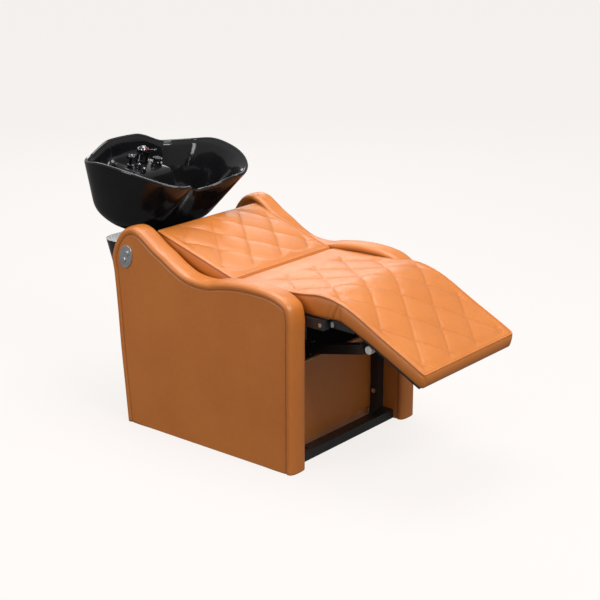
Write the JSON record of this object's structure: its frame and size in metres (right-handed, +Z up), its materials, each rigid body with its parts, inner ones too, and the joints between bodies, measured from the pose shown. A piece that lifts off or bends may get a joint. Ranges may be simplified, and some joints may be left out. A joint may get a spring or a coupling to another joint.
{
  "type": "shampoo backwash unit",
  "caption": "Salon backwash lounge: quilted tan seat, sloped back, motor leg rest, padded side panels, and a tilting black basin with taps on a pedestal.",
  "frame": {"origin": "centre of the four floor fixing holes, on the floor", "axes": "+Z up, +Y from the feet towards the basin, +X towards the seated client's left"},
  "size_m": [0.647, 1.4363, 0.8612],
  "materials": {
    "steel_black": "satin black powder coat",
    "leather_tan": "tan upholstery leather, light grain",
    "board_wood": "raw plywood",
    "ceramic_black": "black glazed ceramic, opaque",
    "shell_black": "gloss black",
    "plastic_black": "matt black",
    "nylon_white": "white nylon",
    "chrome": "polished chrome",
    "plate_silver": "satin silver",
    "steel_zinc": "zinc plated",
    "brass": "turned brass",
    "rubber_black": "black rubber",
    "pipe_grey": "grey plastic pipe",
    "mark_red": "red inlay"
  },
  "bodies": {
    "frame": {"actuator_gearbox": "shell_black", "actuator_hangers": "steel_black", "actuator_motor": "plastic_black", "back_cushion": "leather_tan", "basin_hinge_base": "steel_black", "basin_hinge_pins": "chrome", "control_box": "plastic_black", "frame_bolts": "chrome", "frame_crossbars": "steel_black", "frame_floor_tubes": "steel_black", "frame_posts": "steel_black", "frame_side_rails": "steel_black", "guide_tube": "steel_black", "hinge_ears": "steel_black", "kick_panel_board": "board_wood", "kick_panel_cover": "leather_tan", "lead_screw": "steel_zinc", "leg_pivot_bolts": "chrome", "mains_inlet": "plastic_black", "pedestal_base_plate": "steel_black", "pedestal_cover": "shell_black", "pedestal_frame": "steel_black", "rail_end_caps": "plastic_black", "seat_and_back_boards": "board_wood", "seat_cushion": "leather_tan", "side_core_left": "board_wood", "side_core_right": "board_wood", "side_cover_left": "leather_tan", "side_cover_right": "leather_tan", "switch_housing": "plastic_black", "switch_plate": "plate_silver"},
    "leg_rest": {"leg_rest_arms": "steel_black", "leg_rest_frame": "steel_black", "leg_rest_board": "board_wood", "leg_rest_cushion": "leather_tan", "lever_blade": "steel_black", "roller_pin": "steel_zinc", "nylon_roller": "nylon_white"},
    "push_bar": {"push_bar": "steel_black", "drive_nut": "nylon_white"},
    "basin": {"basin_carrier": "steel_black", "ceramic_basin": "ceramic_black", "basin_pads": "rubber_black", "basin_bolts": "steel_zinc", "waste_flange": "chrome", "waste_tail": "pipe_grey", "mixer_body": "chrome", "mixer_fittings": "brass", "spray_collar": "chrome", "spray_cradle": "chrome", "deck_cap_nuts": "chrome"},
    "mixer_turret": {"mixer_turret": "chrome"},
    "mixer_lever": {"mixer_lever": "chrome", "temperature_mark": "mark_red"},
    "handset": {"spray_handset": "chrome", "spray_face": "rubber_black", "spray_hose_nut": "brass"},
    "strainer": {"hair_strainer": "chrome"},
    "button_up": {"button_up": "chrome"},
    "button_down": {"button_down": "chrome"}
  },
  "joints": [
    {"name": "leg_rest_hinge", "type": "hinge", "parent": "frame", "child": "leg_rest", "pos_m": [0, -0.4415, 0.472], "axis": [1, 0, 0], "range_deg": [-25, 50]},
    {"name": "push_bar_slide", "type": "slide", "parent": "frame", "child": "push_bar", "axis": [0, -0.9781, 0.2079], "range_m": [-0.0935, 0.047]},
    {"name": "basin_tilt", "type": "hinge", "parent": "frame", "child": "basin", "pos_m": [0, 0.48923, 0.56412], "axis": [1, 0, 0], "range_deg": [-15, 5]},
    {"name": "mixer_swivel", "type": "hinge", "parent": "basin", "child": "mixer_turret", "pos_m": [0.022, 0.56842, 0.81724], "axis": [0, -0.2588, 0.9659], "range_deg": [-45, 45]},
    {"name": "mixer_lift", "type": "hinge", "parent": "mixer_turret", "child": "mixer_lever", "pos_m": [0.022, 0.56842, 0.81724], "axis": [-1, 0, 0], "range_deg": [0, 25]},
    {"name": "handset_pull", "type": "slide", "parent": "basin", "child": "handset", "axis": [0, -0.2588, 0.9659], "range_m": [0, 0.25]},
    {"name": "strainer_lift", "type": "slide", "parent": "basin", "child": "strainer", "axis": [0, -0.2588, 0.9659], "range_m": [0, 0.12]},
    {"name": "button_up_press", "type": "slide", "parent": "frame", "child": "button_up", "axis": [1, 0, 0], "range_m": [0, 0.002], "stiffness_N_per_m": 600, "springref_m": -0.001},
    {"name": "button_down_press", "type": "slide", "parent": "frame", "child": "button_down", "axis": [1, 0, 0], "range_m": [0, 0.002], "stiffness_N_per_m": 600, "springref_m": -0.001}
  ],
  "couplings": [
    {"joint": "push_bar_slide", "follows": "leg_rest_hinge", "m_per_rad": -0.1065}
  ]
}
